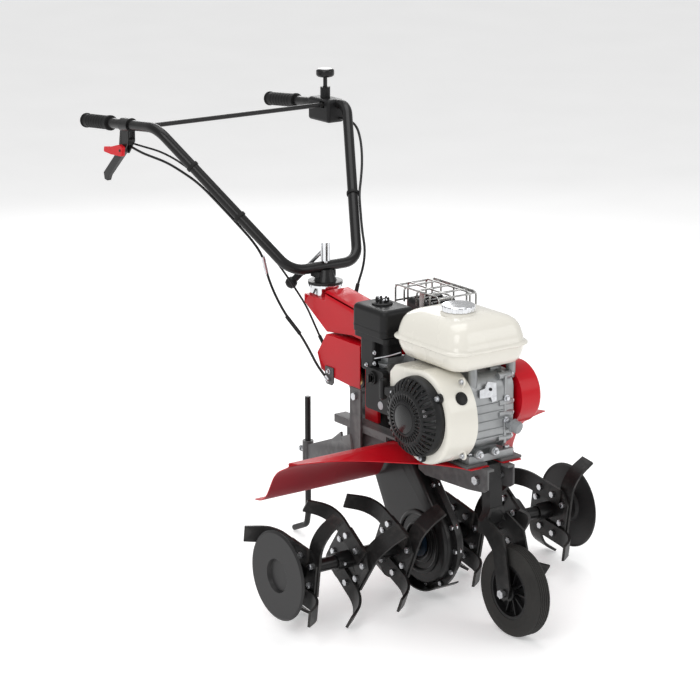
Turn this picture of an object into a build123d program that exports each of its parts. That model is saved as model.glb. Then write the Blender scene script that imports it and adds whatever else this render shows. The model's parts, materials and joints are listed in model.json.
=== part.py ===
from build123d import *
import os
from math import acos, atan2, cos, degrees, hypot, pi, radians, sin, tan

# A petrol motor hoe (tiller).  Millimetres.  +X forwards to the front wheel, +Y to the machine's
# left, +Z up.  The origin is on the ground, under the middle of the machine.

os.makedirs("parts", exist_ok=True)

# ------------------------------------------------------------------ driving dimensions
AXLE_X, AXLE_Z = 296.0, 128.0        # tine axle
SHAFT_X, SHAFT_Z = 74.0, 450.0       # gear case input shaft
CRANK_X, CRANK_Z = 446.0, 473.0      # engine crankshaft
WHEEL_X, WHEEL_Z, WHEEL_R = 598.0, 98.5, 98.0   # front transport wheel
PIVOT_X, PIVOT_Z = 510.0, 328.0      # fold pivot of the wheel arm
SWIVEL_X = -98.0                     # vertical axis on which the handlebar swings
BED_TOP = 367.0                      # the engine stands on this plane
FIT = 0.05                           # radial clearance of a running fit
GAP = 0.4                            # clearance between bodies that pass each other

STAR_Y = (95.0, 215.0, 347.0)        # tine stars on each side
RIGHT_TURN = (66.0, 55.0, 82.0)      # angle of the first blade of each right star, degrees
LEFT_TURN = (-12.0, 55.0, -8.0)      # and of each left star
DISC_Y, DISC_R = 402.0, 99.0         # plant protection discs
BAR_W, BAR_T = 40.0, 6.0             # flat bar of a blade

TUBE_R = 12.0                        # handlebar tube
GRIP_POINT = (-704.0, 262.0, 944.6)  # end of the tube inside the grip
TOP_POINT = (-385.0, 266.0, 974.0)   # upper bend of the handlebar
LOW_POINT = (-101.0, 92.0, 670.0)    # lower bend of the handlebar


# ------------------------------------------------------------------ helpers
def on_side(y):
    """Plane whose local x, y are the machine's X, Z, at the given Y, facing -Y."""
    return Plane((0, y, 0), x_dir=(1, 0, 0), z_dir=(0, -1, 0))


def side_prism(outline, y_low, y_high):
    """Prism of an X-Z outline between two Y planes."""
    return extrude(on_side(y_high) * outline, y_high - y_low, dir=(0, -1, 0))


def top_prism(outline, z_low, z_high):
    """Prism of an X-Y outline between two heights."""
    return extrude(Plane.XY.offset(z_low) * outline, z_high - z_low, dir=(0, 0, 1))


def at(x, z, shape):
    return Pos(x, z) * shape


def outline_of(*points):
    """Polygon facing up whichever way round its corners are given."""
    turns = sum(a[0] * b[1] - b[0] * a[1] for a, b in zip(points, points[1:] + points[:1]))
    return Polygon(*(points if turns > 0 else points[::-1]), align=None)


def box(low, high):
    size = [b - a for a, b in zip(low, high)]
    return Pos(*low) * Box(*size, align=(Align.MIN, Align.MIN, Align.MIN))


def rod(start, end, radius, bore=0.0):
    """Round bar, or tube if it has a bore, between two points."""
    start, end = Vector(*start), Vector(*end)
    section = Circle(radius)
    if bore:
        section -= Circle(bore)
    return extrude(Plane(start, z_dir=end - start) * section, (end - start).length)


def flat(start, end, width, thickness, width_dir=(0, 0, 1)):
    """Straight flat bar between two points, its width along width_dir."""
    start, end = Vector(*start), Vector(*end)
    plane = Plane(start, x_dir=Vector(*width_dir).cross(end - start), z_dir=end - start)
    return extrude(plane * Rectangle(thickness, width), (end - start).length)


def bent(points, radii, radius, bore=0.0):
    """Round bar or tube bent along a route, one bend radius for each corner."""
    route = FilletPolyline(*points, radius=radii)
    section = Circle(radius)
    if bore:
        section -= Circle(bore)
    return sweep(Plane(route @ 0, z_dir=route % 0) * section, path=route)


def belt_outline(x_a, z_a, r_a, x_b, z_b, r_b):
    """Two circles and the straight tangents outside them."""
    lean = atan2(z_b - z_a, x_b - x_a)
    half = acos((r_a - r_b) / hypot(x_b - x_a, z_b - z_a))
    corners = []
    for turn, order in ((lean + half, 1), (lean - half, -1)):
        ends = [(x_a + r_a * cos(turn), z_a + r_a * sin(turn)),
                (x_b + r_b * cos(turn), z_b + r_b * sin(turn))]
        corners += ends[::order]
    return outline_of(*corners) + at(x_a, z_a, Circle(r_a)) + at(x_b, z_b, Circle(r_b))


def hex_bolt(centre, axis, head_r, shank_r, length, nut=True):
    """Hexagon head at centre, shank along axis, nut at its far end."""
    centre, axis = Vector(*centre), Vector(*axis).normalized()
    head_t = head_r * 0.7
    body = extrude(Plane(centre, z_dir=-axis) * RegularPolygon(head_r, 6), head_t)
    body += extrude(Plane(centre, z_dir=axis) * Circle(shank_r), length + (head_t + 1.5 if nut else 0))
    if nut:
        body += extrude(Plane(centre + axis * length, z_dir=axis) * RegularPolygon(head_r, 6), head_t)
    return body


def cable(name, points, radius):
    """Held cable: tangent arcs as large as the two runs beside each corner allow."""
    radii = []
    for before, corner, after in zip(points, points[1:], points[2:]):
        run_in = Vector(*corner) - Vector(*before)
        run_out = Vector(*after) - Vector(*corner)
        turn = radians(run_in.get_angle(run_out))
        radii.append(0.45 * min(run_in.length, run_out.length) / tan(turn / 2))
    print(name, "radii", [round(r) for r in radii])
    tube = bent(points, radii, radius)
    length = FilletPolyline(*points, radius=radii).length
    print(name, "length", round(length), "volume ratio", round(tube.volume / (pi * radius**2 * length), 3))
    return tube


def group(solids):
    """Separate solids that share one node."""
    return Compound(children=[solid for shape in solids for solid in shape.solids()])


def mirrored(shape):
    return mirror(shape, about=Plane.XZ)


def save(name, shape):
    export_step(shape, os.path.join("parts", name + ".step"))


# ------------------------------------------------------------------ gear case, shafts and chain
CASE_HALF, CASE_WALL = 27.0, 3.0      # half width of the case and its sheet
LOWER_R, UPPER_R = 96.0, 56.0         # case lobes round the axle and the input shaft
RIM = 13.0                            # bolted rim outside the lobes
SHOULDER = 9.0                        # rounding of the pressed shoulder
AXLE_R, INPUT_R = 15.0, 10.0          # axle and input shaft
BUSH_WALL = 6.0
TEETH_BIG, TEETH_SMALL, PITCH = 36, 12, 12.7


def polar(radius, angle):
    """Point of the X-Z plane at a radius and an angle in degrees."""
    return radius * cos(radians(angle)), radius * sin(radians(angle))


def case_outline(extra):
    return belt_outline(AXLE_X, AXLE_Z, LOWER_R + extra, SHAFT_X, SHAFT_Z, UPPER_R + extra)


def rim_points():
    """Centres of the rim bolts, round the lower lobe and up both sides."""
    points = []
    for angle in range(-150, 31, 30):
        x, z = polar(LOWER_R + RIM / 2, angle)
        points.append((AXLE_X + x, AXLE_Z + z))
    for angle in (60, 105, 150):
        x, z = polar(UPPER_R + RIM / 2, angle)
        points.append((SHAFT_X + x, SHAFT_Z + z))
    lean = atan2(SHAFT_Z - AXLE_Z, SHAFT_X - AXLE_X)
    half = acos((LOWER_R - UPPER_R) / hypot(AXLE_X - SHAFT_X, AXLE_Z - SHAFT_Z))
    for turn in (lean + half, lean - half):
        for share in (0.22, 0.45, 0.68):
            reach = LOWER_R + (UPPER_R - LOWER_R) * share + RIM / 2
            points.append((AXLE_X + (SHAFT_X - AXLE_X) * share + reach * cos(turn),
                           AXLE_Z + (SHAFT_Z - AXLE_Z) * share + reach * sin(turn)))
    return points


def chain_case_half():
    """Left half of the case, from the middle plane outwards."""
    shell = side_prism(case_outline(0), 0, CASE_HALF)
    shell = fillet(shell.faces().sort_by(Axis.Y)[-1].edges(), SHOULDER) + side_prism(case_outline(RIM), 0, 4)
    room = side_prism(case_outline(-CASE_WALL), -1, CASE_HALF - CASE_WALL)
    shell -= fillet(room.faces().sort_by(Axis.Y)[-1].edges(), SHOULDER - CASE_WALL)
    for x, z, bush_r in ((AXLE_X, AXLE_Z, AXLE_R + BUSH_WALL), (SHAFT_X, SHAFT_Z, INPUT_R + BUSH_WALL)):
        shell += rod((x, CASE_HALF - 12, z), (x, CASE_HALF + 4, z), bush_r + 7)
        shell -= rod((x, -1, z), (x, CASE_HALF + 5, z), bush_r)
    embossed = at(AXLE_X, AXLE_Z, Circle(70) - Circle(62)) + at(AXLE_X, AXLE_Z, Circle(50) - Circle(42))
    shell += side_prism(embossed, CASE_HALF, CASE_HALF + 2)
    for x, z in rim_points():
        shell -= rod((x, -1, z), (x, 5, z), 3.3)
    return shell


def skid_band():
    """Curved band under the case that slides over the ground."""
    rim_r = LOWER_R + RIM + 0.1
    sector = outline_of((0, 0), *[polar(300, angle) for angle in (-152, -120, -88, -52)])
    band = at(AXLE_X, AXLE_Z, (Circle(rim_r + 3) - Circle(rim_r)) & sector)
    return side_prism(band, -32, 32)


def sprocket(teeth, thickness, bore):
    """Chain wheel round the Y axis at the origin."""
    pitch_r = PITCH / 2 / sin(pi / teeth)
    wheel = Circle(pitch_r + 3.2)
    wheel -= [Rot(0, 0, 360 * i / teeth) * Pos(pitch_r, 0) * Circle(4.2) for i in range(teeth)]
    return side_prism(wheel - Circle(bore), -thickness / 2, thickness / 2)


def chain():
    """Two rows of link plates beside the sprockets, pinned together along both free runs."""
    big = PITCH / 2 / sin(pi / TEETH_BIG)
    small = PITCH / 2 / sin(pi / TEETH_SMALL)
    span = hypot(AXLE_X - SHAFT_X, AXLE_Z - SHAFT_Z)
    lean = atan2(SHAFT_Z - AXLE_Z, SHAFT_X - AXLE_X)
    band = (belt_outline(AXLE_X, AXLE_Z, big + 5, SHAFT_X, SHAFT_Z, small + 5)
            - belt_outline(AXLE_X, AXLE_Z, big - 5, SHAFT_X, SHAFT_Z, small - 5))
    links = side_prism(band, 4.2, 5.7) + side_prism(band, -5.7, -4.2)
    half = acos((big - small) / span)
    for turn in (lean + half, lean - half):
        start = Vector(AXLE_X + big * cos(turn), 0, AXLE_Z + big * sin(turn))
        end = Vector(SHAFT_X + small * cos(turn), 0, SHAFT_Z + small * sin(turn))
        count = int((end - start).length // PITCH)
        for i in range(3, count - 2):
            pin = start + (end - start) * (i / count)
            links += rod((pin.X, -5, pin.Z), (pin.X, 5, pin.Z), 3)
    return links


def bushes():
    """Bronze bushes of both shafts in both case halves."""
    pieces = []
    for x, z, r in ((AXLE_X, AXLE_Z, AXLE_R), (SHAFT_X, SHAFT_Z, INPUT_R)):
        for low in (CASE_HALF - 12, -CASE_HALF - 4):
            pieces.append(rod((x, low, z), (x, low + 16, z), r + BUSH_WALL - 0.02, r + FIT))
    return group(pieces)


def axle():
    """Tine axle with the large chain wheel, stepped down inside the tine tubes."""
    shaft = rod((AXLE_X, -150, AXLE_Z), (AXLE_X, 150, AXLE_Z), AXLE_R)
    shaft += rod((AXLE_X, -12, AXLE_Z), (AXLE_X, 12, AXLE_Z), AXLE_R + 9)
    shaft += Pos(AXLE_X, 0, AXLE_Z) * sprocket(TEETH_BIG, 7, AXLE_R - 1)
    for hole in cross_pins(PIN_R + FIT, (PIN_Y[0],)):
        shaft -= hole
    return shaft


def input_shaft():
    """Belt side input shaft with the small chain wheel."""
    shaft = rod((SHAFT_X, -34, SHAFT_Z), (SHAFT_X, 104, SHAFT_Z), INPUT_R)
    return shaft + Pos(SHAFT_X, 0, SHAFT_Z) * sprocket(TEETH_SMALL, 7, INPUT_R - 1)


# ------------------------------------------------------------------ tines
TINE_TUBE_R, OUTER_TUBE_R = 19.0, 16.0
BLADE_BOLTS = (-14.0, 30.0)           # places of the two bolts along a blade
PIN_R, PIN_Y = 3.5, (60.0, 244.0, 380.0)
BLADE_REACH, BLADE_BEND_R, BLADE_BEND = 57.0, 70.0, 58.0


def blade(outward):
    """One blade about the axle at the origin: flat along the star, then bent along the axle.
    outward is +1 or -1, the direction along Y of the bent end."""
    arc_end_x = BLADE_REACH + BLADE_BEND_R * sin(radians(BLADE_BEND))
    arc_end_y = BLADE_BEND_R * (1 - cos(radians(BLADE_BEND)))
    tip = (arc_end_x + 25 * cos(radians(BLADE_BEND)), arc_end_y + 25 * sin(radians(BLADE_BEND)))
    root = Line((-35, 0), (BLADE_REACH, 0))
    bend = CenterArc((BLADE_REACH, BLADE_BEND_R), BLADE_BEND_R, -90, BLADE_BEND)
    profile = trace(root + bend + Line(bend @ 1, tip), BAR_T)
    # local x runs along the bar, local y along the axle, the extrusion across the bar
    plane = Plane((0, 0, 0), x_dir=(0, 0, 1), z_dir=(-outward, 0, 0))
    strip = Pos(45 + BAR_W / 2, 0, 0) * extrude(plane * profile, BAR_W * outward)
    trim = outline_of((25, -38), (65, -38), (65, 100), (58, 150), (25, 150))
    strip = strip & side_prism(trim, -100, 100)
    for z in BLADE_BOLTS:
        strip -= rod((45, -9, z), (45, 9, z), 5.3)
    return strip


def star_plate():
    plate = Rectangle(124, 124)
    plate = chamfer(plate.vertices(), 26)
    plate -= Circle(TINE_TUBE_R - 0.1)
    for quarter in range(4):
        for z in BLADE_BOLTS:
            plate -= Rot(0, 0, 90 * quarter) * Pos(45, z) * Circle(5.3)
    return side_prism(plate, -2.5, 2.5)


def star_parts(side):
    """Blades, plates and bolts of the three stars on one side, side = +1 left or -1 right."""
    blades, plates, bolts = [], [], []
    for y, turn in zip(STAR_Y, LEFT_TURN if side > 0 else RIGHT_TURN):
        for quarter in range(4):
            outward = side if quarter % 2 == 0 else -side
            place = Pos(AXLE_X, side * y, AXLE_Z) * Rot(0, -turn - 90 * quarter, 0)
            face = outward * (2.5 + BAR_T / 2 + 0.02)
            blades.append(place * Pos(0, face, 0) * blade(outward))
            for z in BLADE_BOLTS:
                centre = (45, outward * (2.5 + BAR_T + 0.05), z)
                bolts.append(place * hex_bolt(centre, (0, -outward, 0), 7.5, 5, 5 + BAR_T + 0.1))
        plates.append(Pos(AXLE_X, side * y, AXLE_Z) * Rot(0, -turn, 0) * star_plate())
    return blades, plates, bolts


def tine_tube(side, plates):
    """Inner tine tube with its three star plates; the outer one is carried on a thinner tube."""
    inner = rod((AXLE_X, side * 33, AXLE_Z), (AXLE_X, side * 255, AXLE_Z), TINE_TUBE_R, AXLE_R + 0.2)
    outer = rod((AXLE_X, side * 232, AXLE_Z), (AXLE_X, side * (DISC_Y - 8), AXLE_Z), OUTER_TUBE_R - 1.2, 11)
    collar = rod((AXLE_X, side * 306, AXLE_Z), (AXLE_X, side * 357, AXLE_Z), TINE_TUBE_R + 0.1, 14)
    solid = inner + outer + collar
    for plate in plates:
        solid += plate
    solid += rod((AXLE_X, side * 232, AXLE_Z), (AXLE_X, side * 255, AXLE_Z), TINE_TUBE_R, 11)
    for hole in cross_pins(PIN_R + FIT, PIN_Y):
        solid -= hole
    return solid


def side_disc(side):
    """Dished disc with a stepped centre, outside the last star."""
    y = side * DISC_Y
    profile = Polyline((0, 6), (34, 6), (38, -2), (93, -2), (98, 1))
    dish = revolve(Plane.XY * trace(profile, 2.4), Axis.Y)
    dish = dish & Cylinder(DISC_R, 40, rotation=(90, 0, 0))
    hub = rod((0, 6, 0), (0, 14, 0), 21, OUTER_TUBE_R - 1)
    dish = (dish + hub) - rod((0, 7.4, 0), (0, 30, 0), OUTER_TUBE_R - 1)
    if side > 0:
        dish = mirrored(dish)
    return Pos(AXLE_X, y, AXLE_Z) * dish


def cross_pins(radius, places):
    """Pins across the axle at these distances on both sides: they hold the tine tubes and discs."""
    reach = TINE_TUBE_R + 6
    return [rod((AXLE_X - reach, y, AXLE_Z), (AXLE_X + reach, y, AXLE_Z), radius)
            for place in places for y in (-place, place)]


# ------------------------------------------------------------------ deck, bed, wheel and spur
FENDER_Y, SPLIT_Y = 340.0, 167.0
FENDER_LINE = ((117, 238), (147, 245), (173, 276), (211, 325), (249, 347), (286, 360), (530, 360))


def fender_profile(thickness):
    route = Spline(*FENDER_LINE[:6], tangents=((1, 0.1), (1, 0.1)))
    return trace(route + Line(FENDER_LINE[5], FENDER_LINE[6]), thickness)


def fender_plan():
    front = Spline((529, 68), (399, 157), (318, 250), (283, FENDER_Y), tangents=((-1, 0.25), (-0.3, 1)))
    half = make_face(Polyline((283, FENDER_Y), (100, FENDER_Y), (100, 0), (529, 0), (529, 68)) + front)
    return half + mirror(half, about=Plane.XZ)


def fender_sheet():
    return side_prism(fender_profile(2), -FENDER_Y, FENDER_Y) & top_prism(fender_plan(), 200, 400)


def deck():
    """Red sheet under the engine with the inner fenders and a slot for the gear case."""
    sheet = fender_sheet() & box((90, -SPLIT_Y, 200), (560, SPLIT_Y, 400))
    sheet -= box((0, -34, 200), (262, 34, 400))
    return sheet - box((474, -19, 340), (560, 19, 400)) - box((520, -40, 340), (560, 40, 360))


def outer_fenders():
    sheet = fender_sheet()
    sides = []
    for side in (1, -1):
        low, high = sorted((side * (SPLIT_Y + 0.3), side * FENDER_Y))
        sides.append(sheet & box((90, low, 200), (560, high, 400)))
    return group(sides)


def bed():
    """Welded bed: plate with down-turned sides, wheel bracket plates and fender struts."""
    plate = box((41, -74, 361.2), (522, 74, BED_TOP))
    plate += box((41, -74, 349), (236, -70, BED_TOP)) + box((41, 70, 349), (236, 74, BED_TOP))
    web = outline_of((76, 361.5), (268, 361.5), (230, 350), (184, 305), (120, 303), (76, 322))
    plate += side_prism(web, -64, -59) + side_prism(web, 59, 64)
    plate -= box((0, -42, 290), (246, 42, 370))
    plate -= box((474, -19, 340), (560, 19, 400))
    ear = outline_of((300, 358.5), (545, 358.5), (545, 314), (534, 306), (480, 299), (330, 292), (306, 300))
    bracket = box((300, -37, 353), (545, 37, 358.7)) - box((474, -19, 340), (560, 19, 400))
    bracket += side_prism(ear, -37, -32) + side_prism(ear, 32, 37)
    bracket -= rod((PIVOT_X, -50, PIVOT_Z), (PIVOT_X, 50, PIVOT_Z), 6.05)
    return group([plate, bracket])


CHEEK_IN, CHEEK_OUT = 26.0, 31.0       # inner and outer face of the fork's cheeks


def wheel_arm():
    """Folding arm: a box at the pivot that widens into a fork round the wheel."""
    spine = outline_of((498, 348), (505, 360), (522, 360), (529, 300), (532, 232), (507, 232), (500, 300))
    arm = side_prism(spine, -17, 17) - side_prism(offset(spine, -4), -13, 13)
    cheek = outline_of((520, 236), (532, 250), (590, 226), (604, 180), (617, 112), (612, 90), (598, 81),
                       (580, 86), (574, 104), (560, 180), (536, 205), (520, 215))
    arm += side_prism(cheek, CHEEK_IN, CHEEK_OUT) + side_prism(cheek, -CHEEK_OUT, -CHEEK_IN)
    crown = Polygon((-17, 266), (17, 266), (CHEEK_OUT, 236), (CHEEK_OUT, 210), (CHEEK_IN, 210), (CHEEK_IN, 232),
                    (12, 258), (-12, 258), (-CHEEK_IN, 232), (-CHEEK_IN, 210), (-CHEEK_OUT, 210),
                    (-CHEEK_OUT, 236), align=None)
    arm += extrude(Plane.YZ.offset(508) * crown, 24, dir=(1, 0, 0))
    arm -= rod((PIVOT_X, -50, PIVOT_Z), (PIVOT_X, 50, PIVOT_Z), 6.05)
    arm -= rod((WHEEL_X, -50, WHEEL_Z), (WHEEL_X, 50, WHEEL_Z), 6.02)
    notch = outline_of((495, 345), (503, 345), (503, 353), (495, 353))
    return arm - side_prism(notch, -20, 20)


def wheel_axle():
    start = (WHEEL_X, -CHEEK_OUT - 4, WHEEL_Z)
    return hex_bolt(start, (0, 1, 0), 10, 6, 2 * CHEEK_OUT + 7)


def pivot_bolt():
    return hex_bolt((PIVOT_X, -38, PIVOT_Z), (0, 1, 0), 10, 6, 76)


def wheel_tyre():
    """Solid rubber tyre with ribs round the tread."""
    section = Polygon((60, -18), (78, -20), (90, -19.5), (96, -16.5), (98, -13), (98, 13), (96, 16.5),
                      (90, 19.5), (78, 20), (60, 18), align=None)
    for y in (-10, -5, 0, 5, 10):
        section -= Pos(98, y) * Rectangle(3, 1.8)
    return Pos(WHEEL_X, 0, WHEEL_Z) * revolve(Plane.XY * section, Axis.Y)


def wheel_hub():
    """Moulded spoked hub."""
    hub = rod((0, -25, 0), (0, 25, 0), 14, 6 + FIT)
    hub += side_prism(Circle(60) - Circle(53), -17, 17)
    hub += side_prism(Circle(55) - Circle(12), -1.5, 1.5)
    for spoke in range(10):
        hub += Rot(0, 36 * spoke, 0) * box((13, -11, -1.5), (55, 11, 1.5))
    return Pos(WHEEL_X, 0, WHEEL_Z) * hub


SPUR_X, SPUR_TUBE = -170.0, (181.0, 238.0)
POST_BOLT = 129.0


def spur_bracket():
    """Post on the bed, sloping arm and the tube that holds the depth spur."""
    post = box((109, -80, 300), (149, -74.4, 448)) - rod((POST_BOLT, -90, 430), (POST_BOLT, -60, 430), 4.1)
    arm = flat((118, -80.5, 322), (SPUR_X + 8, -4, 212), 34, 7)
    tube = rod((SPUR_X, 0, SPUR_TUBE[0]), (SPUR_X, 0, SPUR_TUBE[1]), 13)
    brace = flat((60, -66, 318), (-40, -30, 262), 20, 5)
    return (post + arm + tube + brace) - rod((SPUR_X, 0, 100), (SPUR_X, 0, 300), 7 + GAP / 2)


def depth_spur():
    """Round bar pushed through the tube, bent backwards into the soil foot."""
    points = [(SPUR_X, 0, 345), (SPUR_X, 0, 60), (SPUR_X - 6, 0, 30), (SPUR_X - 58, 0, 6.4)]
    bar = bent(points, [20, 18], 7)
    return bar & box((-400, -50, 0), (0, 50, 400))


# ------------------------------------------------------------------ engine
CYLINDER_LEAN = 25.0                  # the cylinder rises towards the rear
SHROUD_Y, SHROUD_DEPTH, SHROUD_R = -140.0, 78.0, 96.0
RECOIL_R, RECOIL_Y = 85.0, -180.0


def along_cylinder(shape):
    """Place a shape built about +X from the crank centre along the leaning cylinder."""
    return Pos(CRANK_X, 0, CRANK_Z) * Rot(0, -(180 - CYLINDER_LEAN), 0) * shape


FOOT_T = 16.0                         # thickness of the engine's foot plate
FOOT_BOLTS = [(x, y) for x in (363, 500) for y in (-49, 49)]


def cylinder_head():
    """Square head casting on the end of the barrel."""
    return along_cylinder(Pos(170, -5, 0) * Box(32, 100, 96))


def engine_block():
    """Crankcase with its feet, finned cylinder and head, bored for crank and piston."""
    case = Pos(CRANK_X - 3, -5, 474) * Box(152, 112, 164)
    case = fillet(case.edges().filter_by(Axis.Y), 36)
    foot = box((352, -60, BED_TOP), (512, 60, BED_TOP + FOOT_T)) + box((376, -40, BED_TOP), (482, 38, 400))
    block = case + foot
    barrel = Pos(110, -5, 0) * Box(90, 70, 76)
    fins = [Pos(78 + 11 * i, -5, 0) * Box(3.5, 104, 90) for i in range(7)]
    block += [along_cylinder(piece) for piece in [barrel] + fins]
    block += cylinder_head()
    block -= rod((CRANK_X, -46, CRANK_Z), (CRANK_X, 36, CRANK_Z), 56)
    block -= rod((CRANK_X, -70, CRANK_Z), (CRANK_X, 60, CRANK_Z), 17.5)
    block -= along_cylinder(rod((30, -5, 0), (152, -5, 0), 34.0))
    for x, y in FOOT_BOLTS:
        block -= rod((x, y, 360), (x, y, BED_TOP + FOOT_T + 1), 4.3)
    return block


def crank_bearings():
    return group([rod((CRANK_X, y, CRANK_Z), (CRANK_X, y + 12, CRANK_Z), 17.4, 12 + FIT) for y in (-59, 38)])


def crankshaft():
    """Main shaft with the round counterweight web."""
    shaft = rod((CRANK_X, -132, CRANK_Z), (CRANK_X, 104, CRANK_Z), 12)
    return shaft + rod((CRANK_X, -34, CRANK_Z), (CRANK_X, -20, CRANK_Z), 44)


def flywheel():
    """Cast flywheel with cooling vanes behind the recoil starter."""
    wheel = rod((CRANK_X, -100, CRANK_Z), (CRANK_X, -72, CRANK_Z), 74, 12)
    wheel -= rod((CRANK_X, -90, CRANK_Z), (CRANK_X, -70, CRANK_Z), 62, 22)
    for vane in range(18):
        piece = Rot(0, 20 * vane, 0) * Pos(58, 0, 0) * Rot(0, 25, 0) * Box(28, 16, 2.5)
        wheel += Pos(CRANK_X, -108, CRANK_Z) * piece
    return wheel


def pulley(y, x, z, outer, bore):
    """V-belt pulley 20 mm wide, centred at y."""
    profile = outline_of((bore, -10), (outer, -10), (outer, -8), (outer - 12, -4), (outer - 12, 4),
                         (outer, 8), (outer, 10), (bore, 10))
    return Pos(x, y, z) * revolve(Plane.XY * profile, Axis.Y)


BELT_Y = 88.0
DRIVE_R, DRIVEN_R = 38.0, 70.0


def drive_belt():
    """V-belt lying in both pulleys."""
    depth, half_width = 9.0, 4.5
    outer = belt_outline(CRANK_X, CRANK_Z, DRIVE_R - 0.5, SHAFT_X, SHAFT_Z, DRIVEN_R - 0.5)
    inner = belt_outline(CRANK_X, CRANK_Z, DRIVE_R - depth, SHAFT_X, SHAFT_Z, DRIVEN_R - depth)
    return side_prism(outer - inner, BELT_Y - half_width + 1, BELT_Y + half_width - 1)


def fan_shroud():
    """Cream pressed shroud round the flywheel, reaching back over the cylinder."""
    wing = outline_of((446, 568), (350, 562), (334, 546), (334, 440), (356, 394), (446, 370))
    outline = belt_outline(CRANK_X, CRANK_Z, SHROUD_R, CRANK_X + 5, CRANK_Z - 12, SHROUD_R - 3) + wing
    drum = side_prism(outline, SHROUD_Y, SHROUD_Y + SHROUD_DEPTH)
    outer = fillet(drum.faces().sort_by(Axis.Y)[0].edges(), 9)
    inner = side_prism(offset(outline, -2.5), SHROUD_Y + 2.5, SHROUD_Y + SHROUD_DEPTH + 1)
    inner = fillet(inner.faces().sort_by(Axis.Y)[0].edges(), 6.5)
    return outer - inner - rod((CRANK_X, -150, CRANK_Z), (CRANK_X, -100, CRANK_Z), 78)


def recoil_cover():
    """Black recoil starter: domed drum with radial cooling slots."""
    drum = rod((CRANK_X, RECOIL_Y, CRANK_Z), (CRANK_X, SHROUD_Y - 0.05, CRANK_Z), RECOIL_R)
    drum = fillet(drum.edges().sort_by(Axis.Y)[0], 15)
    room = rod((CRANK_X, RECOIL_Y + 3, CRANK_Z), (CRANK_X, SHROUD_Y + 1, CRANK_Z), RECOIL_R - 3)
    room = fillet(room.edges().sort_by(Axis.Y)[0], 12)
    drum += rod((CRANK_X, RECOIL_Y - 5, CRANK_Z), (CRANK_X, RECOIL_Y + 2, CRANK_Z), 46)
    drum -= rod((CRANK_X, RECOIL_Y - 2, CRANK_Z), (CRANK_X, RECOIL_Y + 4, CRANK_Z), 42)
    drum -= room
    for slot in range(36):
        cut = Rot(0, 10 * slot, 0) * Pos(59, 0, 0) * Box(18, 12, 4.5)
        drum -= Pos(CRANK_X, RECOIL_Y, CRANK_Z) * cut
    spout = box((336, -154, 494), (366, SHROUD_Y - 0.1, 514))
    return drum + (spout - rod((CRANK_X, -160, CRANK_Z), (CRANK_X, SHROUD_Y, CRANK_Z), RECOIL_R - 1))


GRIP_START = Vector(333, -147, 504)


def starter_grip():
    """Moulded pull handle at the end of the starter rope."""
    bar = Pos(*GRIP_START) * Pos(-9, 0, 0) * Box(14, 16, 46)
    return fillet(bar.edges(), 5)


def starter_rope():
    return rod(GRIP_START + Vector(-2, 0, 0), GRIP_START + Vector(3, 0, 0), 2)


TANK_X, TANK_Y = (301.0, 542.0), (-123.0, 92.0)
SUMP_IN = 37.0                        # the sump starts this far in from the tank's rear side
CAP = (436.0, -34.0)                  # filler neck


def tank_layer(inset, z_low, z_high, radius, x_low=0.0):
    """One level slice of the tank, inset from its outline."""
    low = (TANK_X[0] + inset + x_low, TANK_Y[0] + inset, z_low)
    shape = box(low, (TANK_X[1] - inset, TANK_Y[1] - inset, z_high))
    return fillet(shape.edges().filter_by(Axis.Z), radius)


def tank_half(inset, wall):
    """Outer shape of both halves, or of the room inside them when a wall is taken off."""
    top = tank_layer(inset + wall, 617, 680 - wall, 34 - wall)
    top = fillet(top.faces().sort_by(Axis.Z)[-1].edges(), 24 - wall)
    base = tank_layer(inset + 2 + wall, 597 + wall, 618, 34 - wall)
    sump = tank_layer(inset + 2 + wall, 571 + wall, 618, 30 - wall, x_low=SUMP_IN)
    sump = fillet(sump.faces().sort_by(Axis.Z)[0].edges(), 18 - wall)
    return top + base + sump


def fuel_tank():
    """Two pressed halves joined at a flange, with a filler neck and a sump beside the cylinder."""
    tank = tank_half(6, 0) + tank_layer(0, 614, 619, 40)
    tank += rod((*CAP, 672), (*CAP, 684), 30)
    return tank - tank_half(6, 2) - rod((*CAP, 660), (*CAP, 700), 26)


def fuel_cap():
    cap = rod((*CAP, 684.4), (*CAP, 697), 36)
    cap = fillet(cap.edges().sort_by(Axis.Z)[-1], 4)
    for lobe in range(18):
        cap -= Pos(*CAP, 690) * Rot(0, 0, 20 * lobe) * Pos(37.2, 0, 0) * Cylinder(2.5, 20)
    return cap + rod((*CAP, 674), (*CAP, 685), 25)


def filter_cover():
    """Rounded air filter cover."""
    shell = box((160, -114, 596), (280, -26, 657))
    shell = fillet(shell.edges().filter_by(Axis.Z), 16)
    shell = fillet(shell.faces().sort_by(Axis.Z)[-1].edges(), 12)
    room = fillet(box((163, -111, 590), (277, -29, 654)).edges().filter_by(Axis.Z), 13)
    room = fillet(room.faces().sort_by(Axis.Z)[-1].edges(), 10)
    return shell - room - rod((215, -70, 640), (215, -70, 670), 4)


def filter_base():
    """Filter tray, inlet elbow and the stud for the wing nut."""
    tray = fillet(box((163, -111, 584), (284, -30, 595.6)).edges().filter_by(Axis.Z), 12)
    elbow = box((196, -92, 548), (262, -44, 586))
    elbow = fillet(elbow.edges().filter_by(Axis.Z), 14)
    return tray + elbow + rod((215, -70, 590), (215, -70, 668), 3)


def wing_nut():
    nut = rod((215, -70, 658), (215, -70, 666), 7, 3 + FIT)
    for turn in (0, 180):
        wing = outline_of((4, 0), (9, 0), (17, 10), (15, 14), (8, 8), (4, 8))
        nut += Pos(215, -70, 658) * Rot(0, 0, turn) * (side_prism(wing, -1.5, 1.5) - Cylinder(3.5, 40))
    return nut


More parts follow.
